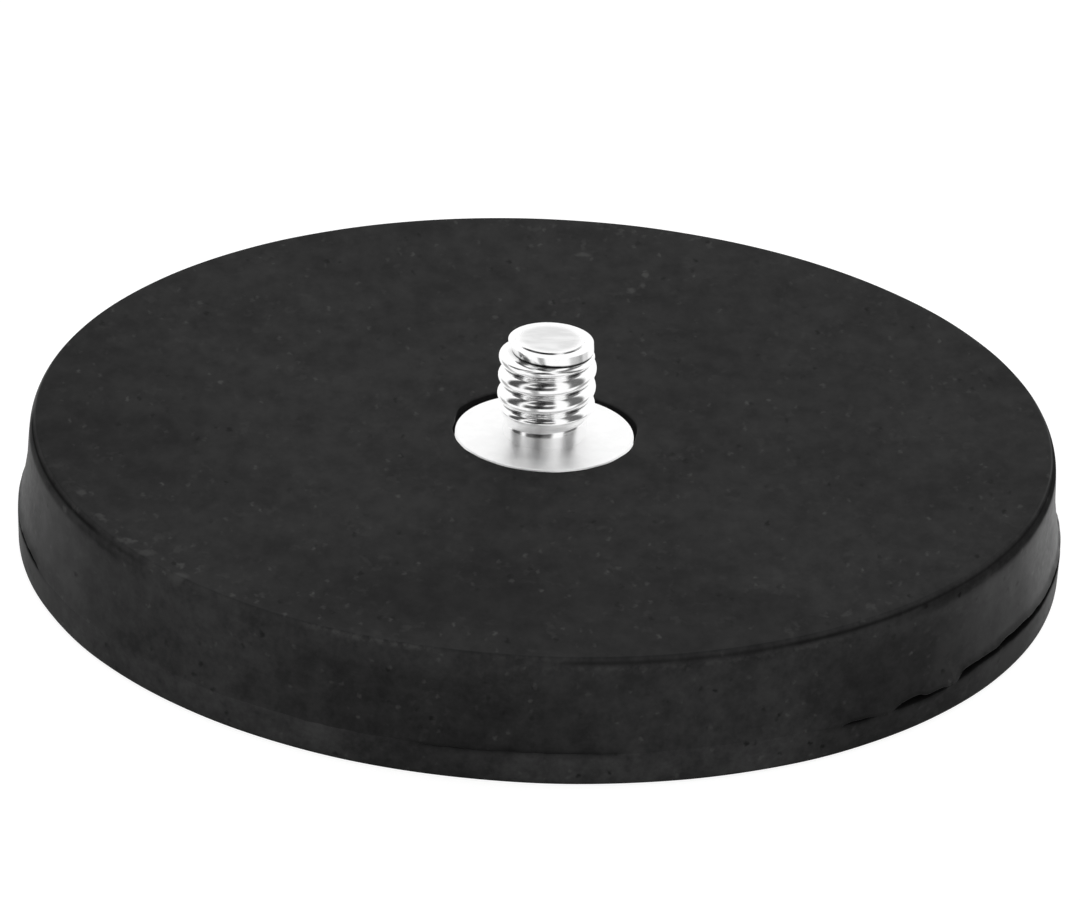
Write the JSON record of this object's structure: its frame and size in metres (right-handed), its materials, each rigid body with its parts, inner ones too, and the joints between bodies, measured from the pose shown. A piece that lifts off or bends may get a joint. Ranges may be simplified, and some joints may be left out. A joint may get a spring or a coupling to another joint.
{
  "type": "magnetic mount",
  "caption": "Round rubber-coated disc magnet with a threaded stud rising from a flat flange at its centre. It grips sheet steel and carries a camera, lamp or sensor.",
  "frame": {"origin": "centre of the rubber bottom face that rests on the steel sheet", "axes": "+Z along the stud, away from the bottom face; X and Y lie in that face"},
  "size_m": [0.066, 0.066, 0.0152],
  "materials": {
    "black_rubber": "matte moulded black rubber with a fine mottled skin",
    "plate_steel": "flat zinc-plated sheet steel",
    "plated_steel": "bright plated turned steel",
    "magnet_nickel": "bright nickel plate"
  },
  "bodies": {
    "root": {"rubber_cover": "black_rubber", "rubber_base": "black_rubber", "steel_plate": "plate_steel", "threaded_stud": "plated_steel", "magnet_01": "magnet_nickel", "magnet_02": "magnet_nickel", "magnet_03": "magnet_nickel", "magnet_04": "magnet_nickel", "magnet_05": "magnet_nickel", "magnet_06": "magnet_nickel", "magnet_07": "magnet_nickel", "magnet_08": "magnet_nickel", "magnet_09": "magnet_nickel", "magnet_10": "magnet_nickel", "magnet_11": "magnet_nickel", "magnet_12": "magnet_nickel"}
  },
  "joints": []
}
